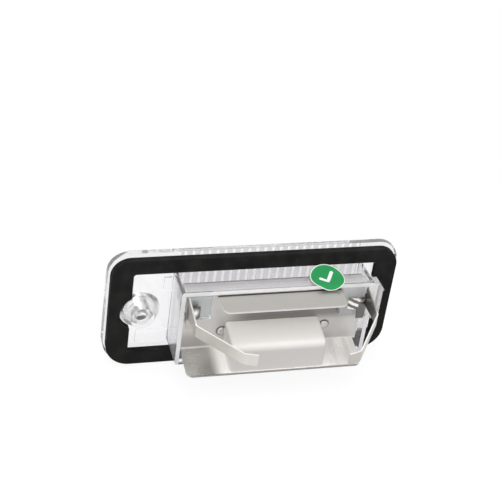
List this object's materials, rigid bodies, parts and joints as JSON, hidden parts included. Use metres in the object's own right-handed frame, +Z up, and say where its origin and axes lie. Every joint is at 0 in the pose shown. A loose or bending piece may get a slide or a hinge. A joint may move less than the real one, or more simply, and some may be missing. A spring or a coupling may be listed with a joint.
{
  "type": "number plate lamp",
  "caption": "Vehicle number plate lamp: clear fluted lens housing with foam gasket, folded reflector bracket, festoon bulb and bent contact springs; fixed by a screw and a hook.",
  "frame": {"origin": "centre of the gasket's opening, in the plane of the gasket's rear face that seats on the vehicle's panel", "axes": "+X along the lamp from the screw to the hook, -Y out of the rear into the vehicle, +Z up the lamp's height"},
  "size_m": [0.0812, 0.0395, 0.036],
  "materials": {
    "clear_plastic": "clear moulding",
    "foam": "matte foam",
    "bright_sheet": "bright rolled sheet",
    "spring_strip": "bright strip",
    "bulb_glass": "clear",
    "bulb_metal": "plated",
    "sticker_green": "gloss film"
  },
  "bodies": {
    "root": {"lens_housing": "clear_plastic", "gasket": "foam", "reflector_bracket": "bright_sheet", "contact_spring_left": "spring_strip", "contact_spring_right": "spring_strip", "bulb_glass": "bulb_glass", "bulb_cap_left": "bulb_metal", "bulb_cap_right": "bulb_metal", "bulb_filament": "bulb_metal", "inspection_sticker": "sticker_green"}
  },
  "joints": []
}
